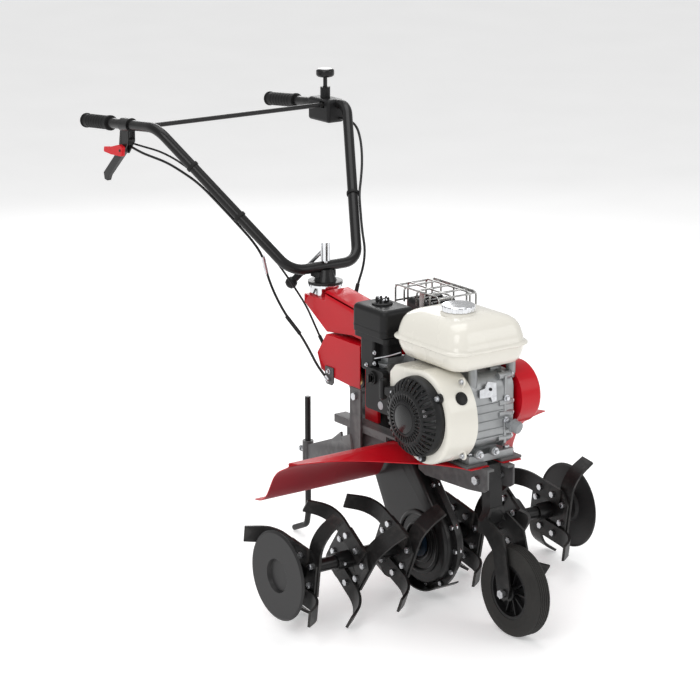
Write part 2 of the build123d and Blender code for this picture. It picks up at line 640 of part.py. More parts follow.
def carburettor():
    """Carburettor body with its float bowl, bolted to the cylinder head."""
    body = box((208, -88, 508), (262, -42, 547.6)) + rod((235, -66, 466), (235, -66, 509), 22)
    body += rod((250, -50, 536), (256.5, -50, 536), 10)
    body -= cylinder_head()
    body -= rod((222, -100, 536), (222, -80, 536), 3 + FIT)
    return body - rod((248, -100, 520), (248, -80, 520), 3 + FIT)


def carb_lever(x, z, y_end, length, lean):
    """Small lever on a spindle in the carburettor's side."""
    lever = rod((0, 0, 0), (0, -14, 0), 3) + rod((0, -8, 0), (0, -12, 0), 7)
    arm = flat((0, -10, 0), (length * sin(radians(lean)), -10, length * cos(radians(lean))), 9, 3, (0, 1, 0))
    return Pos(x, y_end, z) * (lever + arm)


def control_panel():
    """Black side panel behind the recoil starter, with the round switch boss."""
    panel = box((226, -122, 436), (332, -96, 500)) + box((226, -122, 496), (290, -106, 528))
    panel = fillet(panel.edges().filter_by(Axis.Y), 8)
    panel -= box((229, -119, 439), (329, -90, 497))
    panel += rod((252, -127, 508), (252, -110, 508), 15) - rod((252, -130, 508), (252, -112, 508), 11.4)
    return panel - rod((252, -130, 508), (252, -90, 508), 5 + FIT)


def engine_switch():
    knob = rod((252, -129, 508), (252, -122.5, 508), 10.8) + box((250, -135, 499), (254, -128, 517))
    return knob + rod((252, -123, 508), (252, -100, 508), 5)


def muffler():
    """Silencer box on the far side with its outlet and heat shield ribs."""
    shell = fillet(box((160, 32, 572), (290, 112, 648)).edges(), 14)
    for i in range(5):
        shell += box((180 + 22 * i, 44, 646), (188 + 22 * i, 100, 651))
    shell += rod((272, 66, 562), (264, 66, 590), 13)
    shell -= fillet(box((162, 34, 574), (288, 110, 646)).edges(), 12)
    shell += rod((162, 90, 610), (146, 90, 610), 11)
    return shell - rod((170, 90, 610), (140, 90, 610), 8)


def muffler_guard():
    """Welded wire guard over the silencer."""
    wire = 2.2
    pieces = []
    for z in (598, 636, 670):
        points = [(140, 22, z), (140, 124, z), (297, 124, z), (297, 22, z)]
        pieces.append(bent(points, [12, 12], wire))
    for y in (22, 56, 107, 124):
        pieces.append(bent([(140, y, 596), (140, y, 673), (297, y, 673), (297, y, 596)], [10, 10], wire))
    for x in (172, 218, 264):
        pieces.append(bent([(x, 22, 640), (x, 22, 673), (x, 124, 673), (x, 124, 596)], [10, 10], wire))
    guard = pieces[0]
    for piece in pieces[1:]:
        guard += piece
    return guard + box((230, 20, 628), (246, 31.9, 632)) + box((230, 20, 628), (246, 24, 676))


def belt_cover():
    """Red cover of the belt drive, a shell open towards the engine."""
    shape = belt_outline(CRANK_X + 18, CRANK_Z + 19, 69, SHAFT_X, SHAFT_Z, 82)
    cover = side_prism(shape, 64, 120)
    cover = fillet(cover.faces().sort_by(Axis.Y)[-1].edges(), 10)
    room = side_prism(offset(shape, -2.5), 66.5, 117.5)
    cover -= fillet(room.faces().sort_by(Axis.Y)[-1].edges(), 7.5)
    for x, z, radius in ((CRANK_X, CRANK_Z, 16), (SHAFT_X, SHAFT_Z, 14), (IDLER_X, IDLER_Z, 5.3)):
        cover -= rod((x, 60, z), (x, 70, z), radius)
    return cover


IDLER_X, IDLER_Z = 300.0, 470.0       # pivot of the idler arm inside the belt cover
ROLLER_X, ROLLER_Z, ROLLER_R = 240.0, 441.0, 16.0


def idler_arm():
    """Belt tensioner arm with its spindle."""
    arm = flat((IDLER_X, 74, IDLER_Z), (ROLLER_X, 74, ROLLER_Z), 4, 16, (0, 1, 0))
    arm += rod((IDLER_X, 68, IDLER_Z), (IDLER_X, 82, IDLER_Z), 9)
    arm += rod((ROLLER_X, 72, ROLLER_Z), (ROLLER_X, 96, ROLLER_Z), 5)
    return arm - rod((IDLER_X, 60, IDLER_Z), (IDLER_X, 90, IDLER_Z), 5 + FIT)


def idler_pin():
    pin = rod((IDLER_X, 61, IDLER_Z), (IDLER_X, 84, IDLER_Z), 5)
    return pin + rod((IDLER_X, 82.5, IDLER_Z), (IDLER_X, 85, IDLER_Z), 8)


def idler_roller():
    return rod((ROLLER_X, BELT_Y - 8, ROLLER_Z), (ROLLER_X, BELT_Y + 7, ROLLER_Z), ROLLER_R, 5 + FIT)


# ------------------------------------------------------------------ column and handlebar
RING_R, HEAD_Z = 40.0, 607.0


def gear_cover():
    """Red cover over the top of the gear case, open below and in front."""
    profile = outline_of((-21, 535), (-56, 485), (-41, 450), (-9, 441), (108, 433), (108, 535))
    cover = side_prism(profile, -52, 52)
    inner = outline_of((-19, 532.5), (-53, 485), (-39, 452), (-9, 438), (-9, 400), (140, 400), (140, 532.5))
    cover -= side_prism(inner, -49.5, 49.5)
    return cover - rod((SHAFT_X, 40, SHAFT_Z), (SHAFT_X, 60, SHAFT_Z), 12)


def handle_column():
    """Red box column: stands on the bed astride the gear case and carries the handlebar."""
    profile = outline_of((-124, 588), (-124, HEAD_Z), (-54, HEAD_Z), (-50, 627), (62, 612), (130, 590),
                         (160, 545), (160, BED_TOP), (112, BED_TOP), (112, 545), (60, 548), (-35, 536))
    column = side_prism(profile, -40, 40)
    ridge = [edge for edge in column.edges().filter_by(Axis.Y, reverse=True)
             if edge.center().Z > 585 and abs(abs(edge.center().Y) - 40) < 0.1 and -60 < edge.center().X < 160]
    column = fillet(ridge, 14)
    column -= side_prism(offset(profile, -3), -37, 37)
    column -= box((100, -33, 300), (118, 33, 540)) + box((110, -33, 300), (170, 33, 475))
    return column - rod((SWIVEL_X, 0, 560), (SWIVEL_X, 0, 640), 8)


def clamp_ring():
    """Bracket and lower toothed ring on the column's head."""
    base = top_prism(Pos(SWIVEL_X, 0) * RectangleRounded(50, 64, 10), HEAD_Z, 627)
    base += rod((SWIVEL_X, 0, 626), (SWIVEL_X, 0, 632), RING_R)
    return base - rod((SWIVEL_X, 0, 600), (SWIVEL_X, 0, 640), 8)


def clamp_stud():
    """Long stud from the column up through the handlebar mount."""
    return rod((SWIVEL_X, 0, 594), (SWIVEL_X, 0, 655), 7) + rod((SWIVEL_X, 0, 588), (SWIVEL_X, 0, 603.5), 12)


def handle_mount():
    """Upper toothed ring and the cone welded under the handlebar."""
    cone = rod((SWIVEL_X, 0, 632.4), (SWIVEL_X, 0, 638), RING_R)
    profile = outline_of((0, 638), (26, 638), (16, 664), (0, 664))
    cone += Pos(SWIVEL_X, 0, 0) * revolve(Plane.XZ * profile, Axis.Z)
    saddle = box((SWIVEL_X - 24, -24, 646), (SWIVEL_X + 8, 24, 660))
    cone += saddle - rod((LOW_POINT[0], -60, LOW_POINT[2]), (LOW_POINT[0], 60, LOW_POINT[2]), TUBE_R + 0.05)
    cone -= rod((LOW_POINT[0], -60, LOW_POINT[2]), (LOW_POINT[0], 60, LOW_POINT[2]), TUBE_R + 0.05)
    return cone - rod((SWIVEL_X, 0, 620), (SWIVEL_X, 0, 659.5), 7 + FIT)


def both_sides(x, y, z):
    return (x, -y, z), (x, y, z)


def handlebar():
    """One bent tube from grip to grip."""
    points = [both_sides(*GRIP_POINT)[0], both_sides(*TOP_POINT)[0], both_sides(*LOW_POINT)[0],
              both_sides(*LOW_POINT)[1], both_sides(*TOP_POINT)[1], both_sides(*GRIP_POINT)[1]]
    tube = bent(points, [58, 56, 56, 58], TUBE_R, TUBE_R - 2)
    return tube - rod((SWIVEL_X, 0, 650), (SWIVEL_X, 0, 700), 6)


def along_handle(x):
    """Centre of the left tube between the grip and the upper bend, at X."""
    share = (x - GRIP_POINT[0]) / (TOP_POINT[0] - GRIP_POINT[0])
    return Vector(*GRIP_POINT) + (Vector(*TOP_POINT) - Vector(*GRIP_POINT)) * share


def grips():
    """Ribbed rubber grips with a flared end."""
    pieces = []
    end, start = along_handle(-709.4), along_handle(-592)
    sleeve = rod(end, start, 15.5) + rod(end, along_handle(-705), 17.5) + rod(along_handle(-600), start, 18)
    for x in range(-690, -605, 12):
        sleeve += rod(along_handle(x), along_handle(x + 5), 16.3)
    sleeve -= rod(along_handle(-704.2), along_handle(-580), TUBE_R + 0.03)
    return group([sleeve, mirrored(sleeve)])


def brace_rod():
    """Cross rod between the two tubes, flattened where it is bolted on."""
    centre = along_handle(-441)
    reach = centre.Y - TUBE_R - 0.1
    bar = rod((-441, -reach + 14, centre.Z), (-441, reach - 14, centre.Z), 5.5)
    for side in (1, -1):
        low, high = sorted((side * reach, side * (reach - 30)))
        bar += box((-449, low, centre.Z - 3), (-433, high, centre.Z + 3))
    return bar


LEVER_HINGE = Vector(SWIVEL_X, 0, 712)
LEVER_END = Vector(-154, -54, 630)
LEVER_AIM = degrees(atan2(LEVER_END.Y - LEVER_HINGE.Y, LEVER_END.X - LEVER_HINGE.X))


def clamp_head():
    """Chrome clamp head above the handlebar, slotted for the lever, on its own stud."""
    head = rod((0, 0, 684), (0, 0, 727), 11) + rod((0, 0, 664.2), (0, 0, 686), 5.5)
    head -= box((-8.5, -5.3, 690), (20, 5.3, 740))
    head -= rod((0, -20, LEVER_HINGE.Z), (0, 20, LEVER_HINGE.Z), 3 + FIT)
    return Pos(SWIVEL_X, 0, 0) * Rot(0, 0, LEVER_AIM) * head


def clamp_lever():
    """Quick-release lever: eye and pin in the clamp head, rod and grip."""
    heading = (LEVER_END - LEVER_HINGE).normalized()
    axis = Vector(sin(radians(LEVER_AIM)), -cos(radians(LEVER_AIM)), 0)
    lever = rod(LEVER_HINGE - axis * 5, LEVER_HINGE + axis * 5, 7)
    lever += rod(LEVER_HINGE - axis * 11.5, LEVER_HINGE + axis * 11.5, 3)
    lever += rod(LEVER_HINGE, LEVER_END, 4.5)
    lever += rod(LEVER_END - heading * 34, LEVER_END, 8)
    return lever + rod(LEVER_END - heading * 40, LEVER_END - heading * 33, 10)


CLUTCH_PIVOT = Vector(-530, -264, 905)
CLUTCH_X = -514.0
CATCH_PIVOT = Vector(-518, -277, 903)


def clutch_bracket():
    """Clamp round the right tube with two ears for the clutch lever."""
    centre = mirrored_point(along_handle(CLUTCH_X))
    tube_start, tube_end = mirrored_point(along_handle(-534)), mirrored_point(along_handle(-496))
    bracket = rod(tube_start, tube_end, 16.5)
    for y in (-9.5, 6.5):
        ear = outline_of((-542, 900), (-536, 893), (-524, 893), (-498, 925), (-498, 950), (-534, 950))
        bracket += side_prism(ear, centre.Y + y, centre.Y + y + 3)
    bracket -= rod(mirrored_point(along_handle(-560)), mirrored_point(along_handle(-470)), TUBE_R + 0.05)
    bracket += rod(CLUTCH_PIVOT - Vector(0, 10, 0), CLUTCH_PIVOT + Vector(0, 10, 0), 3.5)
    bracket += rod(CATCH_PIVOT - Vector(0, 9.5, 0), CATCH_PIVOT + Vector(0, 6.5, 0), 3)
    return bracket + box((-520, centre.Y - 6.6, 918), (-497, centre.Y + 6.6, 930))


def mirrored_point(point):
    return Vector(point.X, -point.Y, point.Z)


def clutch_lever():
    """Squeeze lever under the right grip."""
    outline = outline_of((-523, 911), (-534, 913), (-545, 905), (-622, 834), (-618, 818),
                         (-606, 816), (-598, 830), (-524, 897))
    lever = side_prism(outline, CLUTCH_PIVOT.Y - 5.5, CLUTCH_PIVOT.Y + 5.5)
    return lever - rod(CLUTCH_PIVOT - Vector(0, 20, 0), CLUTCH_PIVOT + Vector(0, 20, 0), 3.5 + FIT)


def safety_catch():
    """Red thumb catch outside the clutch bracket."""
    outline = outline_of((-508, 912), (-524, 916), (-560, 906), (-590, 902), (-592, 890),
                         (-560, 888), (-512, 890))
    catch = fillet(side_prism(outline, CATCH_PIVOT.Y - 8, CATCH_PIVOT.Y + 1).edges().filter_by(Axis.Y), 3)
    return catch - rod(CATCH_PIVOT - Vector(0, 20, 0), CATCH_PIVOT + Vector(0, 20, 0), 3 + FIT)


KNOB_X, KNOB_Y = -460.0, 256.0


def reverse_box():
    """Control box clamped on the left tube, with the guide of the reverse knob."""
    shell = fillet(box((-502, 233, 926), (-415, 282, 982)).edges(), 8)
    shell += rod((KNOB_X, KNOB_Y, 976), (KNOB_X, KNOB_Y, 1008), 12)
    shell -= rod(along_handle(-540), along_handle(-390), TUBE_R + 0.05)
    shell -= box((-450.5, 230, 961.5), (-431.5, 254, 976.5))
    return shell - rod((KNOB_X, KNOB_Y, 984), (KNOB_X, KNOB_Y, 1009), 5.4)


def reverse_knob():
    knob = rod((KNOB_X, KNOB_Y, 1032), (KNOB_X, KNOB_Y, 1052), 22)
    knob = fillet(knob.edges(), 7)
    return knob + rod((KNOB_X, KNOB_Y, 985), (KNOB_X, KNOB_Y, 1034), 5)


# Routes of the held cables, from the handlebar down to the drive.
CLUTCH_ROUTE = [(-497, -264, 912), (-462, -262, 905), (-420, -255, 900), (-378, -246, 894), (-338, -234, 880),
                (-294, -212, 855), (-251, -186, 811), (-209, -160, 765), (-180, -142, 732), (-170, -122, 696),
                (-177, -107, 652), (-168, -92, 603), (-138, -80, 556), (-99, -70, 522), (-72, -62, 487),
                (-44, -58, 452), (-8, -58, 434)]
THROTTLE_ROUTE = [(-497, -257, 919), (-458, -252, 917), (-412, -243, 914), (-362, -231, 902), (-314, -211, 876),
                  (-269, -184, 828), (-227, -158, 783), (-184, -131, 738), (-148, -108, 696), (-130, -82, 650),
                  (-124, -54, 606), (-134, -26, 570), (-139, -6, 534), (-126, 3, 500), (-96, 2, 472), (-50, 0, 462)]
REVERSE_ROUTE = [(-414, 266, 937), (-382, 273, 936), (-350, 270, 926), (-318, 257, 906), (-289, 241, 880),
                 (-262, 222, 850), (-235, 199, 822), (-203, 171, 798), (-168, 150, 762), (-134, 130, 727),
                 (-99, 113, 694), (-77, 92, 660), (-72, 73, 624), (-69, 61, 588), (-60, 57, 550), (-38, 58, 506)]


# ------------------------------------------------------------------ fasteners fixed to the frame
def frame_bolts():
    bolts = []
    for x, z in rim_points():
        bolts.append(hex_bolt((x, -4.05, z), (0, 1, 0), 6, 3, 8.1))
    for x, y in FOOT_BOLTS:
        bolts.append(hex_bolt((x, y, BED_TOP + FOOT_T + 0.05), (0, 0, -1), 7, 4, 15.5, nut=False))
    bolts.append(hex_bolt((POST_BOLT, -80.05, 430), (0, 1, 0), 9, 4, 5.7))
    bolts.append(hex_bolt((SPUR_X - 24, 0, 212), (1, 0, 0), 8, 4, 11, nut=False))
    bolts += [pivot_bolt(), clamp_stud(), idler_pin()]
    return group(bolts)


# ------------------------------------------------------------------ write every piece
right_star = star_parts(-1)
left_star = star_parts(1)
pieces = {
    "chain_case_right": group([mirrored(chain_case_half()), skid_band()]),
    "chain_case_left": chain_case_half(),
    "bearings": group([bushes(), crank_bearings()]),
    "chain": chain(),
    "tine_axle": axle(),
    "input_shaft": input_shaft(),
    "driven_pulley": pulley(BELT_Y, SHAFT_X, SHAFT_Z, DRIVEN_R, INPUT_R),
    "tine_blades": group(right_star[0] + left_star[0]),
    "tine_tubes": group([tine_tube(-1, right_star[1]), tine_tube(1, left_star[1])]),
    "tine_bolts": group(right_star[2] + left_star[2] + cross_pins(PIN_R, PIN_Y)),
    "side_discs": group([side_disc(-1), side_disc(1)]),
    "deck": deck(),
    "outer_fenders": outer_fenders(),
    "bed": bed(),
    "wheel_arm": wheel_arm(),
    "wheel_axle": wheel_axle(),
    "wheel_tyre": wheel_tyre(),
    "wheel_hub": wheel_hub(),
    "spur_bracket": spur_bracket(),
    "depth_spur": depth_spur(),
    "engine_block": engine_block(),
    "crankshaft": group([crankshaft(), pulley(BELT_Y, CRANK_X, CRANK_Z, DRIVE_R, 12)]),
    "flywheel": flywheel(),
    "drive_belt": drive_belt(),
    "fan_shroud": fan_shroud(),
    "recoil_cover": recoil_cover(),
    "starter_grip": starter_grip(),
    "starter_rope": starter_rope(),
    "fuel_tank": fuel_tank(),
    "fuel_cap": fuel_cap(),
    "filter_cover": filter_cover(),
    "filter_base": filter_base(),
    "wing_nut": wing_nut(),
    "carburettor": carburettor(),
    "choke_lever": carb_lever(222, 536, -88, 26, -50),
    "throttle_lever": carb_lever(248, 520, -88, 24, 60),
    "control_panel": control_panel(),
    "engine_switch": engine_switch(),
    "muffler": muffler(),
    "muffler_guard": muffler_guard(),
    "belt_cover": belt_cover(),
    "idler_arm": group([idler_arm(), idler_roller()]),
    "gear_cover": gear_cover(),
    "handle_column": handle_column(),
    "clamp_ring": clamp_ring(),
    "handle_mount": handle_mount(),
    "handlebar": handlebar(),
    "grips": grips(),
    "brace_rod": brace_rod(),
    "clamp_head": clamp_head(),
    "clamp_lever": clamp_lever(),
    "clutch_bracket": clutch_bracket(),
    "clutch_lever": clutch_lever(),
    "safety_catch": safety_catch(),
    "reverse_box": reverse_box(),
    "reverse_knob": reverse_knob(),
    "clutch_cable": cable("clutch_cable", CLUTCH_ROUTE, 3),
    "throttle_cable": cable("throttle_cable", THROTTLE_ROUTE, 2.5),
    "reverse_cable": cable("reverse_cable", REVERSE_ROUTE, 3),
    "frame_bolts": frame_bolts(),
}
for name, shape in pieces.items():
    save(name, shape)
print(len(pieces), "pieces")
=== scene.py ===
import json
from math import cos, pi, radians, sin

import bmesh
import bpy
from mathutils import Matrix, Vector


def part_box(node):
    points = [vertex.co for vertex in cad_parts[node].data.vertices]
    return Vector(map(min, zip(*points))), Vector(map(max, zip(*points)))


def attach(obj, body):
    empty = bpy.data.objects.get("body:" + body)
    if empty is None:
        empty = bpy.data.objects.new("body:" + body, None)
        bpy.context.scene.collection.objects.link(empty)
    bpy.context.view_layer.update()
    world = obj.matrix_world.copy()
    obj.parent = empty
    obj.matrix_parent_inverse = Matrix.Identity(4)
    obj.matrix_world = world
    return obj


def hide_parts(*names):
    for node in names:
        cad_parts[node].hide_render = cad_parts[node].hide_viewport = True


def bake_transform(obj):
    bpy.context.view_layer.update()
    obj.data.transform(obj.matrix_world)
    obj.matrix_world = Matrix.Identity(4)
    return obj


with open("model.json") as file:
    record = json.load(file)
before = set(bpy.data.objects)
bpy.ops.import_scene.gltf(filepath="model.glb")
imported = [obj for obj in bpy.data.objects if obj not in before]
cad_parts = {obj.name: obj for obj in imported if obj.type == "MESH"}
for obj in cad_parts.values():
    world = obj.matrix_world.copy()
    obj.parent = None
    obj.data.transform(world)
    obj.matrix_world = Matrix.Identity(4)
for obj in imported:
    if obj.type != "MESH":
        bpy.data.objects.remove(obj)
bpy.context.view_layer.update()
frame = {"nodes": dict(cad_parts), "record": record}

# Looks of a petrol tiller, in the CAD frame: +X forwards to the front wheel, +Y to the machine's
# left, +Z up.  Sizes of shapes are in millimetres, and the helpers turn them into Blender's metres.

MM = 0.001
RECORD = frame["record"]
BODY_OF = {node: body for body, nodes in RECORD["behaviour"]["bodies"].items() for node in nodes}

AXLE = Vector((296, 0, 128))            # tine axle
CRANK = Vector((446, 0, 473))           # engine crankshaft
WHEEL = Vector((598, 0, 98.5))          # front wheel
SHAFT = Vector((74, 0, 450))            # input shaft of the chain case

FORWARDS = (1, 0, 0)
LEFT = (0, 1, 0)
RIGHT = (0, -1, 0)
UP = (0, 0, 1)
SIDES = (("right", -1), ("left", 1))    # each side's name and its sign along Y

SHARP = 32                              # degrees between faces that still look smooth
ROUND = 60                              # the same for pieces that are round all over
METAL_SPECULAR = 0.5
OTHER_SPECULAR = 0.25
COAT_ROUGHNESS = 0.08
RUBBED = (0.60, 0.66)                   # edge values where rubbing starts and is complete


# ------------------------------------------------------------------ materials
def shader(name, colour, roughness, metallic=0.0, coat=0.0):
    """A Principled material with its even values set on the shader itself."""
    material = bpy.data.materials.new(name)
    material.use_nodes = True
    tree = material.node_tree
    surface = tree.nodes["Principled BSDF"]
    surface.inputs["Base Color"].default_value = (*colour, 1)
    surface.inputs["Roughness"].default_value = roughness
    surface.inputs["Metallic"].default_value = metallic
    surface.inputs["Specular IOR Level"].default_value = METAL_SPECULAR if metallic else OTHER_SPECULAR
    surface.inputs["Coat Weight"].default_value = coat
    surface.inputs["Coat Roughness"].default_value = COAT_ROUGHNESS
    return material, tree, surface


def noise(tree, scale, detail=3.0, stretch=(1, 1, 1)):
    """Noise in the piece's own coordinates, about `scale` lumps to the metre."""
    place = tree.nodes.new("ShaderNodeTexCoord")
    mapping = tree.nodes.new("ShaderNodeMapping")
    mapping.inputs["Scale"].default_value = stretch
    texture = tree.nodes.new("ShaderNodeTexNoise")
    texture.inputs["Scale"].default_value = scale
    texture.inputs["Detail"].default_value = detail
    tree.links.new(place.outputs["Object"], mapping.inputs["Vector"])
    tree.links.new(mapping.outputs["Vector"], texture.inputs["Vector"])
    return texture.outputs["Fac"]


def ramp(tree, value, stops):
    """Colour ramp through (place, colour) stops."""
    node = tree.nodes.new("ShaderNodeValToRGB")
    elements = node.color_ramp.elements
    while len(elements) < len(stops):
        elements.new(0.5)
    for element, (place, colour) in zip(elements, stops):
        element.position = place
        element.color = (*colour, 1)
    tree.links.new(value, node.inputs["Fac"])
    return node.outputs["Color"]


def between(tree, value, low, high):
    """Spread noise, which lies mostly from 0.3 to 0.7, over a range."""
    node = tree.nodes.new("ShaderNodeMapRange")
    node.inputs["From Min"].default_value = 0.3
    node.inputs["From Max"].default_value = 0.7
    node.inputs["To Min"].default_value = low
    node.inputs["To Max"].default_value = high
    tree.links.new(value, node.inputs["Value"])
    return node.outputs["Result"]


def bump(tree, surface, value, distance):
    """Relief of a given depth in metres."""
    node = tree.nodes.new("ShaderNodeBump")
    node.inputs["Distance"].default_value = distance
    node.inputs["Strength"].default_value = 1.0
    tree.links.new(value, node.inputs["Height"])
    tree.links.new(node.outputs["Normal"], surface.inputs["Normal"])


def tone(colour, factor):
    return tuple(min(1.0, channel * factor) for channel in colour)


def rubbed(tree, shades, worn):
    """Shades with the worn colour along edges that stand out, more in some places than in others."""
    patches, unevenness = 60.0, 0.12
    geometry = tree.nodes.new("ShaderNodeNewGeometry")
    rub = tree.nodes.new("ShaderNodeMath")
    rub.operation = "MULTIPLY_ADD"
    tree.links.new(noise(tree, patches, 5.0), rub.inputs[0])
    rub.inputs[1].default_value = unevenness
    tree.links.new(geometry.outputs["Pointiness"], rub.inputs[2])
    start, full = RUBBED
    edge = ramp(tree, rub.outputs[0], [(start, (0, 0, 0)), (full, (1, 1, 1))])
    mix = tree.nodes.new("ShaderNodeMix")
    mix.data_type = "RGBA"
    tree.links.new(edge, mix.inputs["Factor"])
    tree.links.new(shades, mix.inputs["A"])
    mix.inputs["B"].default_value = (*worn, 1)
    return mix.outputs["Result"]


def finish(name, colour, roughness, metallic=0.0, coat=0.0, lump=9.0, change=0.12, grain=900.0,
           depth=0.00004, stretch=(1, 1, 1), worn=None):
    """Colour and gloss that vary a little over the surface, with a fine grain in relief.
    worn is the colour of rubbed edges, if they show."""
    material, tree, surface = shader(name, colour, roughness, metallic, coat)
    broad = noise(tree, lump, 4.0)
    shades = ramp(tree, broad, [(0.3, tone(colour, 1 - change)), (0.7, tone(colour, 1 + change))])
    if worn:
        shades = rubbed(tree, shades, worn)
    tree.links.new(shades, surface.inputs["Base Color"])
    fine = noise(tree, grain, 2.0, stretch)
    gloss = between(tree, broad, roughness * 0.85, min(1.0, roughness * 1.15))
    tree.links.new(gloss, surface.inputs["Roughness"])
    bump(tree, surface, fine, depth)
    return material


LOOKS = {
    "red": finish("red_enamel", (0.53, 0.002, 0.010), 0.34, coat=0.12, change=0.07, grain=260,
                  depth=0.00003),
    # a darker, rougher copy of the red for faces that point down: painted shade
    "red_painted_shade": finish("red_enamel_painted_shade", (0.30, 0.012, 0.022), 0.55, grain=260),
    "black": finish("black_enamel", (0.009, 0.0088, 0.009), 0.36, coat=0.15, change=0.2, grain=420,
                    worn=(0.03, 0.029, 0.028)),
    "blade": finish("blade_enamel", (0.012, 0.0115, 0.0115), 0.42, change=0.25, grain=300,
                    depth=0.00006, worn=(0.05, 0.047, 0.045)),
    "disc": finish("disc_enamel", (0.026, 0.0255, 0.026), 0.40, change=0.15, grain=420),
    "grey": finish("grey_enamel", (0.072, 0.069, 0.071), 0.42, change=0.08, grain=320,
                   worn=(0.13, 0.13, 0.13)),
    "cream": finish("cream_enamel", (0.80, 0.775, 0.70), 0.26, coat=0.6, change=0.02, grain=180,
                    depth=0.00002),
    "zinc": finish("zinc_plate", (0.62, 0.63, 0.65), 0.30, metallic=1.0, lump=120, change=0.15),
    "steel": finish("drawn_steel", (0.50, 0.50, 0.51), 0.28, metallic=1.0, lump=40, grain=700,
                    stretch=(1, 12, 1)),
    "chrome": finish("bright_chrome", (0.80, 0.81, 0.83), 0.10, metallic=1.0, lump=60, change=0.05,
                     grain=500, depth=0.00001),
    "wire": finish("plated_wire", (0.42, 0.42, 0.41), 0.25, metallic=1.0, lump=80, change=0.2),
    "cast": finish("cast_aluminium", (0.36, 0.37, 0.375), 0.42, metallic=0.75, lump=30, grain=1100,
                   depth=0.00018),
    "bronze": finish("sintered_bronze", (0.55, 0.38, 0.18), 0.45, metallic=1.0, lump=60, grain=1400),
    "plastic": finish("black_moulding", (0.011, 0.011, 0.0115), 0.42, grain=1500, depth=0.00005),
    "gloss": finish("gloss_moulding", (0.009, 0.009, 0.0095), 0.22, coat=0.2, change=0.1,
                    grain=1000, depth=0.00001),
    "red_plastic": finish("red_moulding", (0.66, 0.015, 0.022), 0.30, change=0.05, depth=0.00002),
    "grey_plastic": finish("grey_moulding", (0.26, 0.27, 0.28), 0.40, change=0.06, grain=1200),
    "rubber": finish("black_rubber", (0.012, 0.012, 0.012), 0.62, change=0.15, grain=1300,
                     depth=0.00008),
    "sleeve": finish("cable_sleeve", (0.010, 0.010, 0.0105), 0.34, change=0.1, grain=700),
    "seal": finish("blue_black_seal", (0.006, 0.016, 0.03), 0.35, change=0.1),
    "spot": finish("pale_spot", (0.42, 0.43, 0.45), 0.5, change=0.05),
    "tyre": finish("tyre_rubber", (0.028, 0.027, 0.0255), 0.70, lump=22, change=0.22, grain=1000,
                   depth=0.0001),
}


# ------------------------------------------------------------------ mesh helpers
def dressed(name, mesh, look, angle):
    """An object in the scene with one look, smooth except at edges sharper than the angle."""
    made = bpy.data.objects.new(name, mesh)
    bpy.context.scene.collection.objects.link(made)
    mesh.materials.clear()
    mesh.materials.append(LOOKS[look])
    mesh.shade_smooth()
    mesh.set_sharp_from_angle(angle=radians(angle))
    return made


def piece(name, mesh, look, body, node=None, angle=SHARP):
    """Put a mesh in the scene as a piece that rides on a body."""
    made = dressed(name, mesh, look, angle)
    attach(made, body)
    if node:
        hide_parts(node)
    return made


def loose(name, mesh, look, node=None):
    """A piece that runs between two bodies and rides on neither."""
    made = dressed(name, mesh, look, 50)
    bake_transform(made)
    if node:
        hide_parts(node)


def mesh_of(bm, name):
    """Turn a bmesh into a mesh whose faces look outwards, and free the bmesh."""
    bmesh.ops.recalc_face_normals(bm, faces=bm.faces)
    mesh = bpy.data.meshes.new(name)
    bm.to_mesh(mesh)
    bm.free()
    return mesh


def soften(made, width, angle=SHARP):
    """Round the sharp edges of a piece."""
    bevel = made.modifiers.new("edges", "BEVEL")
    bevel.width = width * MM
    bevel.segments = 2
    bevel.limit_method = "ANGLE"
    bevel.angle_limit = radians(angle)
    bevel.harden_normals = True


def refined(node, look, edge):
    """A CAD node's shape with merged faces and rounded edges, standing for that node."""
    sharp, flat, same_place = 28, 0.6, 1e-6
    bm = bmesh.new()
    bm.from_mesh(frame["nodes"][node].data)
    bmesh.ops.remove_doubles(bm, verts=bm.verts, dist=same_place)
    bmesh.ops.dissolve_limit(bm, angle_limit=radians(flat), verts=bm.verts, edges=bm.edges)
    name = node + "_shape"
    made = piece(name, mesh_of(bm, name), look, BODY_OF[node], node, sharp)
    if edge:
        soften(made, edge, sharp)
    return made


# ------------------------------------------------------------------ shapes
def skin(bm, loops, caps=(True, True)):
    """Faces between a stack of closed loops of points, with flat ends where caps asks for them."""
    made = [[bm.verts.new(point) for point in loop] for loop in loops]
    for low, high in zip(made, made[1:]):
        for i in range(len(low)):
            j = (i + 1) % len(low)
            bm.faces.new((low[i], low[j], high[j], high[i]))
    for wanted, loop in zip(caps, (made[0], made[-1])):
        if wanted:
            bm.faces.new(loop)


def circle(radius, height, steps):
    turns = [2 * pi * i / steps for i in range(steps)]
    return [Vector((radius * cos(turn), radius * sin(turn), height)) * MM for turn in turns]


def circles(profile, steps):
    """One circle for each (radius, height) of a profile."""
    return [circle(radius, height, steps) for radius, height in profile]


def aim(centre, direction):
    """Matrix that puts a shape made along Z at a place, pointing along a direction."""
    turn = Vector(direction).to_track_quat("Z", "Y").to_matrix().to_4x4()
    return Matrix.Translation(Vector(centre) * MM) @ turn


def merge(bm, part):
    """Move a small mesh into a larger one."""
    held = bpy.data.meshes.new("held")
    part.to_mesh(held)
    part.free()
    bm.from_mesh(held)
    bpy.data.meshes.remove(held)


def add_turned(bm, profile, centre, direction, steps):
    """Add a round shape from (radius, height) pairs."""
    part = bmesh.new()
    skin(part, circles(profile, steps))
    part.transform(aim(centre, direction))
    merge(bm, part)


